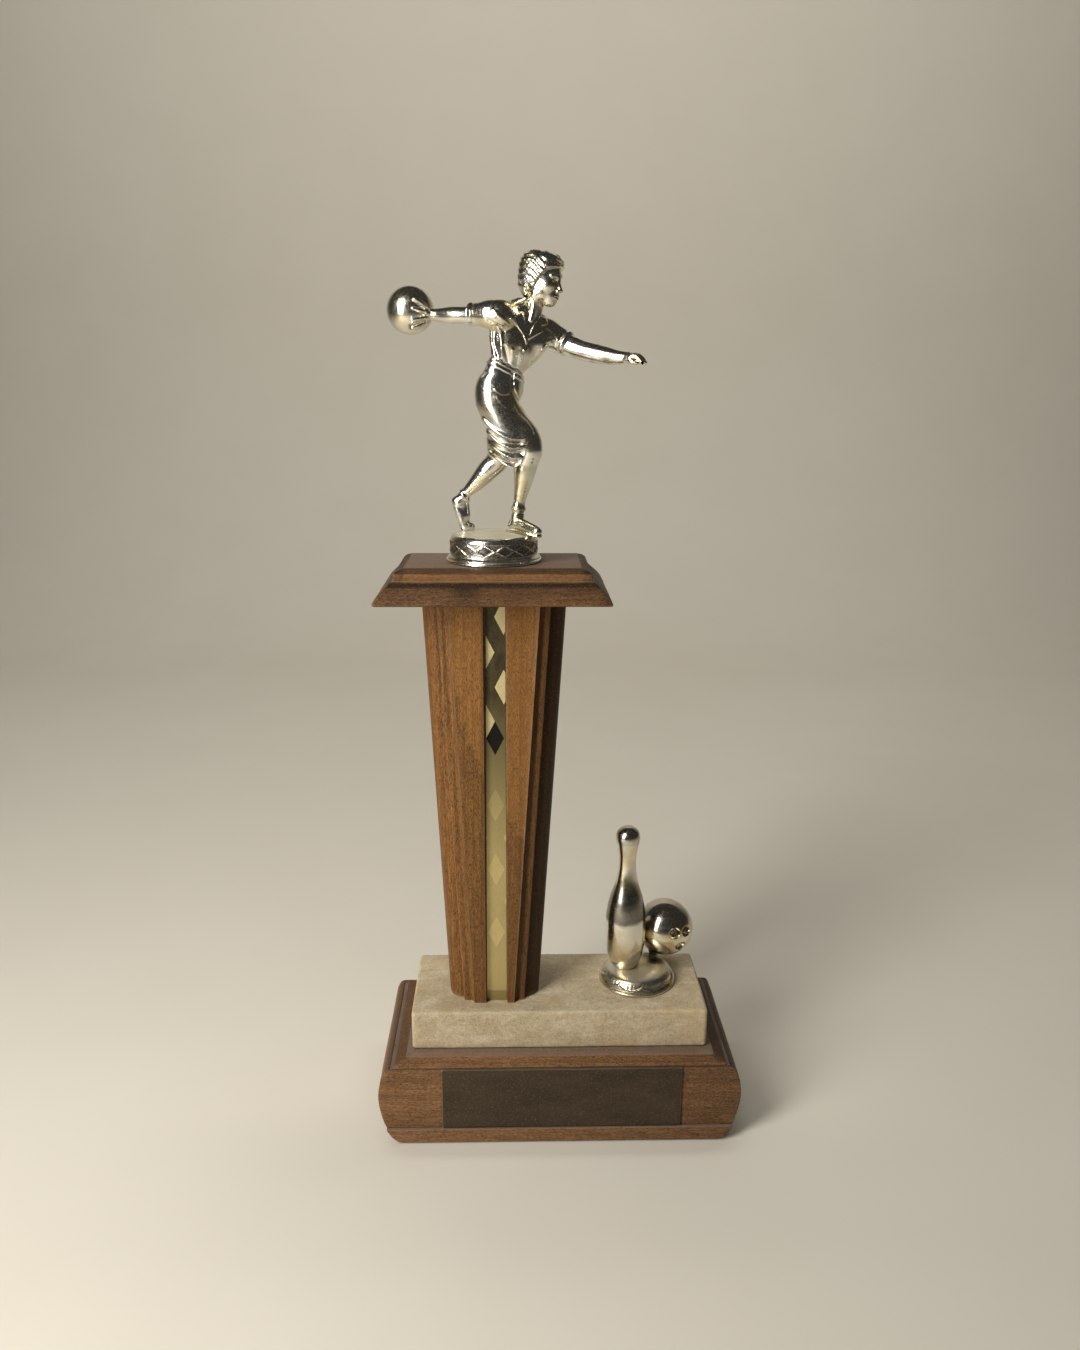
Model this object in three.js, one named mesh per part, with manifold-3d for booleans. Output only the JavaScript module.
// Bowling trophy. A walnut base carries a marble slab; a tapering walnut column with a foil inlay
// stands on the slab under a moulded cap; a cast bowler stands on a riser on the cap, and a cast
// pin and ball stand on the slab. One threaded rod clamps base, slab, column and cap together.
//
// Millimetres, +Z up. The origin is the centre of the felt's underside; the front faces -Y.

import * as THREE from 'three';
import { mergeVertices } from 'three/addons/utils/BufferGeometryUtils.js';
import Module from 'manifold-3d';

const wasm = await Module();
wasm.setup();

// ---------------------------------------------------------------- driving dimensions

const GLUE = 0.1; // glue line between pieces that don't move
const GAP = 0.3; // clearance between a moving piece and its neighbour

// heights of the stacked pieces
const FELT_THICKNESS = 1.1;
const BASE_BOTTOM = FELT_THICKNESS + GLUE;
const BASE_TOP = 47.0;
const MARBLE_BOTTOM = BASE_TOP + GLUE;
const MARBLE_TOP = 68.4;
const COLUMN_BOTTOM = MARBLE_TOP + GLUE;
const COLUMN_TOP = 281.2;
const CAP_BOTTOM = COLUMN_TOP + GLUE;
const CAP_TOP = 296.9;

// walnut base: the widest rectangle of its top lip, and the flat milled across its front
const BASE_LIP = { x: 84.5, y: 41.0 };
const BASE_FLAT_Y = -40.4;
const BASE_FOOT_Y = -42.4;
const BASE_FLAT_LOW = 8.8;
const BASE_FLAT_HIGH = 44.0;
const PLATE = { left: -60.5, right: 62.0, thickness: 1.1, margin: 0.15 };

const MARBLE = { width: 152.4, depth: 58.0, edge: 1.6 };

// tapering column: its axis is also the axis of the tie rod and of the bowler's riser
const COLUMN_X = -32.8;
const COLUMN_HALF_DEPTH = 20.4;
const BOARD_BACK_Y = -14.4; // where the two front boards are glued to the core
const CHANNEL = { left: -37.9, right: -27.2, depth: 2.7 };
const FLAT_EDGE_LEFT = { bottom: -44.2, top: -54.5 };
const FLAT_EDGE_RIGHT = { bottom: -23.6, top: -10.8 };
const BOARD_ROUND = 5.4; // width of the rounded moulding on each front board
const CORE_ROUND = 7.6; // width of the rounded corner of the core beside each board
const STRIP = { thickness: 0.4, leftBottom: -37.7, leftTop: -36.5, right: -27.4 };

const CAP_LIP = { x: 45.7, y: 27.0 };

// fasteners
const ROD_RADIUS = 3.0;
const ROD_BORE = 3.5;
const THREAD_CLEARANCE = 0.3;
const ROD_COUNTERBORE = { radius: 11.0, ceiling: 14.2 };
const STUD_RADIUS = 2.0;
const STUD_BORE = 2.4;
const STUD_COUNTERBORE = { radius: 8.0, ceiling: 10.4 };

// cast pieces
const TRIM_AXIS = { x: 42.8, y: 2.8 };
const TRIM_RADIUS = 20.3;
const TRIM_HEIGHT = 8.0;
const PIN_AXIS = { x: 36.0, y: 3.0 };
const BALL = { x: 58.9, y: 15.7, height: 23.4, radius: 15.25 };
const RISER = { rim: 22.9, wall: 20.8, shoulder: 18.8, shoulderHeight: 12.3, crown: 1.3 };
const RISER_CAVITY = { radius: 18.6, height: 9.0 };

// ---------------------------------------------------------------- materials

function material(color, roughness, metalness) {
  return new THREE.MeshStandardMaterial({ color, roughness, metalness });
}

const WALNUT = material(0x6a4426, 0.55, 0);
const WALNUT_FRONT = material(0x8a5a2c, 0.5, 0);
const ALABASTER = material(0xb9ac8b, 0.45, 0);
const TARNISHED = material(0x3a3426, 0.55, 0.8);
const FOIL = material(0x9a8c58, 0.4, 0.7);
const SILVERED = material(0xc9c6b8, 0.18, 1);
const ZINC = material(0x9a9ca0, 0.4, 1);
const FELT = material(0x1f4a30, 0.95, 0);

// ---------------------------------------------------------------- solids

function solidOf(geometry) {
  const bare = geometry.clone();
  bare.deleteAttribute('normal');
  bare.deleteAttribute('uv');
  const welded = mergeVertices(bare, 1e-4);
  const triangles = [];
  for (let i = 0; i < welded.index.count; i += 3) {
    const a = welded.index.getX(i);
    const b = welded.index.getX(i + 1);
    const c = welded.index.getX(i + 2);
    if (a !== b && b !== c && c !== a) triangles.push(a, b, c);
  }
  return new wasm.Manifold(new wasm.Mesh({
    numProp: 3,
    vertProperties: welded.attributes.position.array,
    triVerts: Uint32Array.from(triangles),
  }));
}

function geometryOf(solid) {
  const mesh = solid.getMesh();
  const geometry = new THREE.BufferGeometry();
  geometry.setAttribute('position', new THREE.BufferAttribute(mesh.vertProperties, 3));
  geometry.setIndex(new THREE.BufferAttribute(mesh.triVerts, 1));
  geometry.computeVertexNormals();
  return geometry;
}

function joined(solids) {
  return solids.reduce((sum, next) => sum.add(next));
}

// A round bar standing on (x, y) between two heights.
function bar(x, y, low, high, radius, sides = 24) {
  const geometry = new THREE.CylinderGeometry(radius, radius, high - low, sides);
  geometry.rotateX(Math.PI / 2);
  geometry.translate(x, y, (low + high) / 2);
  return solidOf(geometry);
}

// A profile of [radius, height] points that starts and ends on the axis, turned about (x, y).
function turned(profile, x, y, low, sides) {
  const points = profile.map(([radius, height]) => new THREE.Vector2(radius, height));
  const geometry = new THREE.LatheGeometry(points, sides);
  geometry.rotateX(Math.PI / 2);
  geometry.translate(x, y, low);
  return solidOf(geometry);
}

// A block whose outline is a rectangle at every height: profile holds [height, offset] points from
// the bottom up, the offset being how far the outline stands outside the lip's rectangle.
function mouldedBlock(profile, lip, x) {
  const points = [
    new THREE.Vector2(0, profile[0][0]),
    ...profile.map(([height]) => new THREE.Vector2(1, height)),
    new THREE.Vector2(0, profile.at(-1)[0]),
  ];
  const offsets = [0, ...profile.map(([, offset]) => offset), 0];
  const geometry = new THREE.LatheGeometry(points, 4, Math.PI / 4);
  const position = geometry.attributes.position;
  for (let i = 0; i < position.count; i += 1) {
    const level = i % points.length;
    const onAxis = level === 0 || level === points.length - 1;
    const halfX = onAxis ? 0 : lip.x + offsets[level];
    const halfY = onAxis ? 0 : lip.y + offsets[level];
    position.setX(i, Math.sign(position.getX(i)) * halfX);
    position.setZ(i, Math.sign(position.getZ(i)) * halfY);
  }
  geometry.rotateX(Math.PI / 2);
  geometry.translate(x, 0, 0);
  return solidOf(geometry);
}

function splinePoints(points, count) {
  const curve = new THREE.SplineCurve(points.map(([u, v]) => new THREE.Vector2(u, v)));
  return curve.getPoints(count).map((p) => [p.x, p.y]);
}

function box(xLow, xHigh, yLow, yHigh, zLow, zHigh) {
  const geometry = new THREE.BoxGeometry(xHigh - xLow, yHigh - yLow, zHigh - zLow);
  geometry.translate((xLow + xHigh) / 2, (yLow + yHigh) / 2, (zLow + zHigh) / 2);
  return solidOf(geometry);
}

function roundedRectangle(width, depth, radius) {
  const shape = new THREE.Shape();
  const x = width / 2;
  const y = depth / 2;
  shape.moveTo(-x + radius, -y);
  shape.lineTo(x - radius, -y);
  shape.absarc(x - radius, -y + radius, radius, -Math.PI / 2, 0);
  shape.absarc(x - radius, y - radius, radius, 0, Math.PI / 2);
  shape.absarc(-x + radius, y - radius, radius, Math.PI / 2, Math.PI);
  shape.absarc(-x + radius, -y + radius, radius, Math.PI, Math.PI * 1.5);
  return shape;
}

// A ring or a drilled hexagon lying flat, for washers and nuts.
function flatRing(x, y, low, high, outer, hole, sides) {
  const shape = new THREE.Shape();
  for (let i = 0; i < sides; i += 1) {
    const angle = (i / sides) * Math.PI * 2;
    const corner = [outer * Math.cos(angle), outer * Math.sin(angle)];
    if (i === 0) shape.moveTo(...corner);
    else shape.lineTo(...corner);
  }
  shape.holes.push(new THREE.Path().absarc(0, 0, hole, 0, Math.PI * 2, true));
  const geometry = new THREE.ExtrudeGeometry(shape, {
    depth: high - low, bevelEnabled: false, curveSegments: 12,
  });
  geometry.translate(x, y, low);
  return solidOf(geometry);
}

function hexNut(x, y, low, high, acrossFlats, hole) {
  return flatRing(x, y, low, high, acrossFlats / Math.sqrt(3), hole, 6);
}

function washer(x, y, low, high, outer, hole) {
  return flatRing(x, y, low, high, outer, hole, 32);
}

// ---------------------------------------------------------------- base and slab

function baseBlock() {
  const bullnose = splinePoints([
    [BASE_BOTTOM, -5.0], [2.8, -0.8], [5.0, 2.4], [10.5, 5.7], [20.0, 8.1], [27.5, 8.7],
    [34.0, 7.8], [38.3, 6.5], [41.7, 4.5], [43.8, 1.9],
  ], 18);
  const profile = [...bullnose, [43.9, -0.5], [44.4, 0], [45.0, 0], [BASE_TOP, -4.6]];
  const far = BASE_LIP.x + 20;
  return mouldedBlock(profile, BASE_LIP, 0)
    .subtract(box(-far, far, -far, BASE_FLAT_Y, BASE_FLAT_LOW, BASE_FLAT_HIGH))
    .subtract(box(-far, far, -far, BASE_FOOT_Y, 0, BASE_FLAT_LOW + 1))
    .subtract(bar(COLUMN_X, 0, 0, BASE_TOP + 1, ROD_BORE))
    .subtract(bar(COLUMN_X, 0, 0, ROD_COUNTERBORE.ceiling, ROD_COUNTERBORE.radius, 32))
    .subtract(bar(TRIM_AXIS.x, TRIM_AXIS.y, 0, BASE_TOP + 1, STUD_BORE))
    .subtract(bar(TRIM_AXIS.x, TRIM_AXIS.y, 0, STUD_COUNTERBORE.ceiling, STUD_COUNTERBORE.radius));
}

function feltPad() {
  const shape = roundedRectangle(156, 74, 3);
  const geometry = new THREE.ExtrudeGeometry(shape, {
    depth: FELT_THICKNESS, bevelEnabled: false, curveSegments: 4,
  });
  geometry.translate(0, -2.5, 0);
  return solidOf(geometry);
}

function namePlate() {
  const back = BASE_FLAT_Y - GLUE;
  return box(
    PLATE.left, PLATE.right, back - PLATE.thickness, back,
    BASE_FLAT_LOW + PLATE.margin, BASE_FLAT_HIGH - 0.6,
  );
}

function marbleSlab() {
  const shape = roundedRectangle(MARBLE.width - 2 * MARBLE.edge, MARBLE.depth - 2 * MARBLE.edge, 1.5);
  const geometry = new THREE.ExtrudeGeometry(shape, {
    depth: MARBLE_TOP - MARBLE_BOTTOM - 2 * MARBLE.edge,
    bevelThickness: MARBLE.edge,
    bevelSize: MARBLE.edge,
    bevelSegments: 2,
    curveSegments: 3,
  });
  geometry.translate(0, 0, MARBLE_BOTTOM + MARBLE.edge);
  return solidOf(geometry)
    .subtract(bar(COLUMN_X, 0, MARBLE_BOTTOM - 1, MARBLE_TOP + 1, ROD_BORE))
    .subtract(bar(TRIM_AXIS.x, TRIM_AXIS.y, MARBLE_BOTTOM - 1, MARBLE_TOP + 1, STUD_BORE));
}

// ---------------------------------------------------------------- column

// A column piece is extruded with its bottom outline, then everything outside the front boards'
// flat faces slides outwards towards the top, so the mouldings keep their width all the way up.
function tapered(shape) {
  const height = COLUMN_TOP - COLUMN_BOTTOM;
  const geometry = new THREE.ExtrudeGeometry(shape, {
    depth: height, bevelEnabled: false, curveSegments: 4,
  });
  const position = geometry.attributes.position;
  for (let i = 0; i < position.count; i += 1) {
    const x = position.getX(i);
    const rise = position.getZ(i) / height;
    if (x <= FLAT_EDGE_LEFT.bottom + 0.01) {
      position.setX(i, x + rise * (FLAT_EDGE_LEFT.top - FLAT_EDGE_LEFT.bottom));
    } else if (x >= FLAT_EDGE_RIGHT.bottom - 0.01) {
      position.setX(i, x + rise * (FLAT_EDGE_RIGHT.top - FLAT_EDGE_RIGHT.bottom));
    }
  }
  geometry.translate(0, 0, COLUMN_BOTTOM);
  return geometry;
}

// The core: rounded front corners beside the boards, and a tongue that backs the inlay.
function columnCore() {
  const left = FLAT_EDGE_LEFT.bottom - BOARD_ROUND - CORE_ROUND;
  const right = FLAT_EDGE_RIGHT.bottom + BOARD_ROUND + CORE_ROUND;
  const front = BOARD_BACK_Y + GLUE;
  const back = COLUMN_HALF_DEPTH;
  const tongueFront = -COLUMN_HALF_DEPTH + CHANNEL.depth + STRIP.thickness + GLUE;
  const cornerDepth = 8.0;
  const backRound = 2.5;
  const shape = new THREE.Shape();
  shape.moveTo(CHANNEL.left + GLUE, front);
  shape.lineTo(CHANNEL.left + GLUE, tongueFront);
  shape.lineTo(CHANNEL.right - GLUE, tongueFront);
  shape.lineTo(CHANNEL.right - GLUE, front);
  shape.lineTo(right - CORE_ROUND, front);
  shape.absellipse(right - CORE_ROUND, front + cornerDepth, CORE_ROUND, cornerDepth,
    -Math.PI / 2, 0, false, 0);
  shape.absarc(right - backRound, back - backRound, backRound, 0, Math.PI / 2);
  shape.absarc(left + backRound, back - backRound, backRound, Math.PI / 2, Math.PI);
  shape.absellipse(left + CORE_ROUND, front + cornerDepth, CORE_ROUND, cornerDepth,
    Math.PI, Math.PI * 1.5, false, 0);
  return solidOf(tapered(shape))
    .subtract(bar(COLUMN_X, 0, COLUMN_BOTTOM - 1, COLUMN_TOP + 1, ROD_BORE));
}

// A front board: flat beside the channel, then a rounded moulding out to the core's corner.
function frontBoard(inner, flatEdge) {
  const side = Math.sign(flatEdge.bottom - inner);
  const outer = flatEdge.bottom + side * BOARD_ROUND;
  const front = -COLUMN_HALF_DEPTH;
  const stepFront = BOARD_BACK_Y - 1.2;
  const shape = new THREE.Shape();
  shape.moveTo(inner, BOARD_BACK_Y);
  shape.lineTo(inner, front);
  shape.lineTo(flatEdge.bottom, front);
  shape.bezierCurveTo(
    flatEdge.bottom + side * 2.6, front, outer - side * 0.4, front + 2.0, outer, stepFront,
  );
  shape.lineTo(outer, BOARD_BACK_Y);
  return solidOf(tapered(shape));
}

function inlayStrip() {
  const front = -COLUMN_HALF_DEPTH + CHANNEL.depth;
  const height = COLUMN_TOP - COLUMN_BOTTOM - 2 * GLUE;
  const shape = new THREE.Shape();
  shape.moveTo(STRIP.leftBottom, 0);
  shape.lineTo(STRIP.right, 0);
  shape.lineTo(STRIP.right, height);
  shape.lineTo(STRIP.leftTop, height);
  const geometry = new THREE.ExtrudeGeometry(shape, {
    depth: STRIP.thickness, bevelEnabled: false,
  });
  geometry.rotateX(Math.PI / 2);
  geometry.translate(0, front + STRIP.thickness, COLUMN_BOTTOM + GLUE);
  return solidOf(geometry);
}

function capBlock() {
  const quarterRound = splinePoints([
    [CAP_BOTTOM, 8.3], [282.3, 9.0], [285.4, 7.1], [289.3, 3.1], [291.4, 0.9],
  ], 8);
  const profile = [...quarterRound, [291.6, 0], [294.6, 0], [296.1, -2.0], [CAP_TOP, -4.7]];
  return mouldedBlock(profile, CAP_LIP, COLUMN_X)
    .subtract(bar(COLUMN_X, 0, CAP_BOTTOM - 1, CAP_TOP + 1, ROD_BORE));
}

// ---------------------------------------------------------------- fasteners

function tieRod() {
  return bar(COLUMN_X, 0, 4.0, CAP_TOP + 8.7, ROD_RADIUS);
}

// A split ring: its two ends stand apart by a narrow slot.
function lockWasher() {
  const ring = washer(COLUMN_X, 0, 10.6, 12.2, 5.8, ROD_RADIUS + THREAD_CLEARANCE);
  return ring.subtract(box(COLUMN_X, COLUMN_X + 8, -0.6, 0.6, 9, 13));
}

function trimStud() {
  return bar(TRIM_AXIS.x, TRIM_AXIS.y, 3.6, MARBLE_TOP + 5.4, STUD_RADIUS, 20);
}

// ---------------------------------------------------------------- pin and ball trim

function trimBase() {
  const hub = STUD_RADIUS + THREAD_CLEARANCE;
  const profile = [
    [0, 6.0], [hub, 6.0], [hub, 0], [5.5, 0], [5.5, 5.0], [16.8, 3.6], [17.2, 0],
    [TRIM_RADIUS, 0], [TRIM_RADIUS, 1.1], [19.6, 1.9], [18.9, 2.3], [18.6, 4.4],
    [17.8, 6.2], [16.4, 7.4], [14.4, TRIM_HEIGHT], [0, TRIM_HEIGHT],
  ];
  return turned(profile, TRIM_AXIS.x, TRIM_AXIS.y, MARBLE_TOP + GAP, 32);
}

function trimPin() {
  const body = splinePoints([
    [6.5, 0.1], [7.9, 2.8], [9.8, 9.8], [10.8, 21.5], [10.3, 30.9], [8.85, 39.2],
    [6.2, 47.8], [4.75, 56.0], [4.6, 63.0], [5.6, 69.5], [6.35, 74.0], [5.4, 77.6], [3.0, 79.6],
  ], 20);
  const profile = [[0, 0], [5.9, 0], ...body, [0, 80.0]];
  return turned(profile, PIN_AXIS.x, PIN_AXIS.y, MARBLE_TOP + GAP + TRIM_HEIGHT + GLUE, 24);
}

// The ball stands beside the pin on a short cast lug, and has three finger holes.
function trimBall() {
  const centre = new THREE.Vector3(BALL.x, BALL.y, MARBLE_TOP + GAP + BALL.height);
  const sphere = new THREE.SphereGeometry(BALL.radius, 24, 16);
  sphere.rotateX(Math.PI / 2);
  sphere.translate(centre.x, centre.y, centre.z);
  const seat = MARBLE_TOP + GAP + TRIM_HEIGHT + GLUE;
  let solid = solidOf(sphere).add(bar(52.6, 10.8, seat, seat + 5, 2.6, 16));
  const holes = [{ turn: -76, lift: 13 }, { turn: -47, lift: 11 }, { turn: -61, lift: -20 }];
  for (const { turn, lift } of holes) {
    const cutter = new THREE.CylinderGeometry(2.6, 2.6, 8, 14);
    cutter.rotateZ(-Math.PI / 2);
    cutter.translate(BALL.radius, 0, 0);
    cutter.rotateY(THREE.MathUtils.degToRad(-lift));
    cutter.rotateZ(THREE.MathUtils.degToRad(turn));
    cutter.translate(centre.x, centre.y, centre.z);
    solid = solid.subtract(solidOf(cutter));
  }
  return solid;
}

// ---------------------------------------------------------------- riser and bowler

// The bowler's pegs: [x, y] from the riser's axis, one under each foot.
const PEGS = [[13.0, -2.4], [-12.8, 10.2]];
const PEG_RADIUS = 1.2;

// The limbs and the trunk have few sides, because the figure is small.
const LIMB_SIDES = 9;
const LOFT_SIDES = 14;

function riserTopHeight(radius) {
  return RISER.shoulderHeight + RISER.crown * (1 - (radius / RISER.shoulder) ** 2);
}

function figureRiser() {
  const hub = ROD_RADIUS + THREAD_CLEARANCE + 0.1;
  const crown = [13, 7].map((radius) => [radius, riserTopHeight(radius)]);
  const profile = [
    [0, 9.4], [hub, 9.4], [hub, 6.6], [6.2, 6.6], [6.2, RISER_CAVITY.height],
    [RISER_CAVITY.radius, RISER_CAVITY.height], [RISER_CAVITY.radius, 0],
    [RISER.rim - 0.4, 0], [RISER.rim, 0.5], [RISER.rim, 1.2], [21.8, 2.2], [21.1, 2.9],
    [RISER.wall, 4.0], [RISER.wall, 9.4], [20.4, 11.0], [19.8, 11.8],
    [RISER.shoulder, RISER.shoulderHeight], ...crown, [0, riserTopHeight(0)],
  ];
  let solid = turned(profile, 0, 0, 0, 32);
  for (const [x, y] of PEGS) {
    solid = solid.subtract(bar(x, y, 10.4, 20, PEG_RADIUS + GAP, 12));
  }
  return solid.translate(COLUMN_X, 0, CAP_TOP + GAP);
}

// A limb segment between two balls of different size, with the cone that touches both.
function roundCone([ax, ay, az, ra], [bx, by, bz, rb]) {
  const start = new THREE.Vector3(ax, ay, az);
  const along = new THREE.Vector3(bx, by, bz).sub(start);
  const length = along.length();
  const tilt = Math.asin(THREE.MathUtils.clamp((ra - rb) / length, -0.95, 0.95));
  const profile = [];
  for (const t of [0, 0.45, 1]) {
    const angle = -Math.PI / 2 + t * (tilt + Math.PI / 2);
    profile.push(new THREE.Vector2(ra * Math.cos(angle), ra * Math.sin(angle)));
  }
  for (const t of [0, 0.55, 1]) {
    const angle = tilt + t * (Math.PI / 2 - tilt);
    profile.push(new THREE.Vector2(rb * Math.cos(angle), length + rb * Math.sin(angle)));
  }
  profile[0].x = 0;
  profile.at(-1).x = 0;
  const geometry = new THREE.LatheGeometry(profile, LIMB_SIDES);
  const turn = new THREE.Quaternion().setFromUnitVectors(
    new THREE.Vector3(0, 1, 0), along.normalize(),
  );
  geometry.applyQuaternion(turn);
  geometry.translate(ax, ay, az);
  return solidOf(geometry);
}

function limb(points) {
  return joined(points.slice(1).map((point, i) => roundCone(points[i], point)));
}

// An egg-shaped mass: half sizes along its own axes, turned about the vertical.
function mass([x, y, z], [rx, ry, rz], turn = 0) {
  const geometry = new THREE.SphereGeometry(1, 12, 8);
  geometry.rotateX(Math.PI / 2);
  geometry.scale(rx, ry, rz);
  geometry.rotateZ(THREE.MathUtils.degToRad(turn));
  geometry.translate(x, y, z);
  return solidOf(geometry);
}

// A closed tube of ellipses: each section is [x, y, z, half width, half depth, turn in degrees].
function loft(sections) {
  const top = sections.length - 1;
  const geometry = new THREE.CylinderGeometry(1, 1, 1, LOFT_SIDES, top);
  const position = geometry.attributes.position;
  for (let i = 0; i < position.count; i += 1) {
    const [x, y, z, halfWidth, halfDepth, turn] = sections[Math.round((0.5 - position.getY(i)) * top)];
    const u = position.getX(i) * halfWidth;
    const v = -position.getZ(i) * halfDepth;
    const angle = THREE.MathUtils.degToRad(turn);
    position.setXYZ(
      i,
      x + u * Math.cos(angle) - v * Math.sin(angle),
      y + u * Math.sin(angle) + v * Math.cos(angle),
      z,
    );
  }
  return solidOf(geometry);
}

// The bowler, in millimetres from the riser's axis and the top of the cap. The figure strides
// towards +X and -Y, with the ball arm swung back and the other arm held out ahead.
function bowlerFigure() {
  const parts = [
    // head with its hair, jaw and neck
    mass([22.3, -1.4, 129.6], [9.3, 9.0, 9.7], -30),
    mass([24.6, -3.4, 122.4], [6.6, 6.0, 8.2], -30),
    limb([[17.6, 0.8, 109.5, 4.9], [20.0, -0.8, 118.5, 4.0]]),
    // trunk, from the collar to the waist, and the skirt down to its hem
    loft([
      [18.0, 0.8, 113.0, 5.5, 4.6, 41], [16.2, 0.8, 109.8, 13.0, 5.6, 41],
      [15.0, 0.4, 105.0, 15.2, 7.6, 41], [12.8, -0.2, 99.0, 13.4, 8.2, 40],
      [9.6, -0.2, 93.5, 10.6, 7.2, 36], [7.2, 0.0, 88.6, 8.9, 6.6, 30],
    ]),
    loft([
      [7.0, 0.0, 89.2, 9.2, 6.9, 30], [4.0, 0.8, 82.6, 12.0, 9.6, 26],
      [3.0, 0.8, 76.0, 12.4, 10.6, 22], [4.4, 0.4, 69.0, 12.8, 10.6, 12],
      [7.6, -0.6, 61.5, 13.0, 10.2, 0], [9.8, -1.6, 55.0, 12.6, 9.6, -8],
      [8.4, -0.8, 48.5, 9.6, 8.2, -12],
    ]),
    // ball arm: short sleeve, forearm, hand and ball
    limb([[3.0, -8.5, 111.2, 6.0], [-3.6, -5.0, 111.8, 5.3], [-9.5, -1.8, 111.9, 4.6]]),
    limb([[-9.5, -1.8, 111.8, 3.9], [-18.0, 3.0, 111.9, 3.4], [-28.0, 8.4, 112.3, 2.9],
      [-31.0, 10.0, 112.9, 3.5]]),
    mass([-38.2, 14.0, 114.6], [10.95, 10.95, 10.95]),
    // guide arm: short sleeve, forearm and open hand
    limb([[26.0, 7.6, 104.0, 6.6], [33.3, 5.8, 99.7, 5.2]]),
    limb([[33.3, 5.8, 99.6, 4.5], [44.0, 0.1, 95.7, 4.2], [54.0, -6.0, 93.6, 3.1],
      [60.0, -9.7, 93.0, 2.7], [65.6, -12.8, 92.5, 1.8]]),
    // leading leg
    limb([[12.0, -3.0, 62.0, 7.6], [16.8, -3.6, 52.0, 6.3], [15.2, -2.2, 42.0, 5.1],
      [13.2, -0.6, 33.0, 3.9], [11.8, 0.4, 24.6, 2.7]]),
    limb([[11.6, 0.4, 23.0, 2.9], [9.8, 0.6, 17.0, 3.0], [17.4, -5.4, 15.6, 2.9],
      [20.6, -7.6, 14.9, 2.2]]),
    // trailing leg, up on its toes
    limb([[3.4, 3.0, 50.0, 6.2], [-2.6, 5.2, 41.6, 5.1], [-8.2, 7.2, 36.0, 4.0],
      [-13.6, 8.9, 31.2, 2.7]]),
    limb([[-17.4, 9.4, 27.4, 2.5], [-14.9, 9.9, 18.6, 2.7], [-11.6, 10.2, 15.4, 2.0]]),
    roundCone([-13.6, 8.9, 31.2, 2.7], [-14.9, 9.9, 20.6, 2.6]),
  ];
  const body = joined(parts).translate(COLUMN_X, 0, CAP_TOP);
  // flat soles just above the riser, and a peg under each foot
  const sole = CAP_TOP + GAP + riserTopHeight(0) + GAP;
  const clearance = bar(COLUMN_X, 0, CAP_TOP, sole, 30, 32);
  const pegs = PEGS.map(([x, y]) => bar(COLUMN_X + x, y, CAP_TOP + 11.4, sole + 1.5, PEG_RADIUS, 12));
  return joined([body.subtract(clearance), ...pegs]);
}

// ---------------------------------------------------------------- assembly

const trophy = new THREE.Group();

function addPiece(group, name, solid, finish) {
  const mesh = new THREE.Mesh(geometryOf(solid), finish);
  mesh.name = name;
  group.add(mesh);
}

const stand = new THREE.Group();
addPiece(stand, 'base_block', baseBlock(), WALNUT);
addPiece(stand, 'felt_pad', feltPad(), FELT);
addPiece(stand, 'name_plate', namePlate(), TARNISHED);
addPiece(stand, 'marble_slab', marbleSlab(), ALABASTER);
addPiece(stand, 'column_core', columnCore(), WALNUT);
addPiece(stand, 'column_board_left', frontBoard(CHANNEL.left, FLAT_EDGE_LEFT), WALNUT_FRONT);
addPiece(stand, 'column_board_right', frontBoard(CHANNEL.right, FLAT_EDGE_RIGHT), WALNUT_FRONT);
addPiece(stand, 'inlay_strip', inlayStrip(), FOIL);
addPiece(stand, 'cap_block', capBlock(), WALNUT);

const fasteners = new THREE.Group();
const rodHole = ROD_RADIUS + THREAD_CLEARANCE;
const studHole = STUD_RADIUS + THREAD_CLEARANCE;
addPiece(fasteners, 'tie_rod', tieRod(), ZINC);
addPiece(fasteners, 'base_nut', hexNut(COLUMN_X, 0, 5.2, 10.3, 11.1, rodHole), ZINC);
addPiece(fasteners, 'base_lock_washer', lockWasher(), ZINC);
addPiece(fasteners, 'base_washer', washer(COLUMN_X, 0, 12.5, 13.9, 9.5, rodHole), ZINC);
addPiece(fasteners, 'cap_washer', washer(COLUMN_X, 0, CAP_TOP + 0.1, CAP_TOP + 1.3, 9.5, rodHole), ZINC);
addPiece(fasteners, 'cap_nut', hexNut(COLUMN_X, 0, CAP_TOP + 1.6, CAP_TOP + 5.6, 11.1, rodHole), ZINC);
addPiece(fasteners, 'trim_stud', trimStud(), ZINC);
addPiece(fasteners, 'trim_nut', hexNut(TRIM_AXIS.x, TRIM_AXIS.y, 5.0, 8.6, 7.9, studHole), ZINC);
addPiece(fasteners, 'trim_washer', washer(TRIM_AXIS.x, TRIM_AXIS.y, 8.9, 10.1, 6.8, studHole), ZINC);

const sideTrim = new THREE.Group();
addPiece(sideTrim, 'trim_base', trimBase(), SILVERED);
addPiece(sideTrim, 'trim_pin', trimPin(), SILVERED);
addPiece(sideTrim, 'trim_ball', trimBall(), SILVERED);

const bowler = new THREE.Group();
addPiece(bowler, 'figure_riser', figureRiser(), SILVERED);
addPiece(bowler, 'bowler_figure', bowlerFigure(), SILVERED);

trophy.add(stand, fasteners, sideTrim, bowler);

export default trophy;
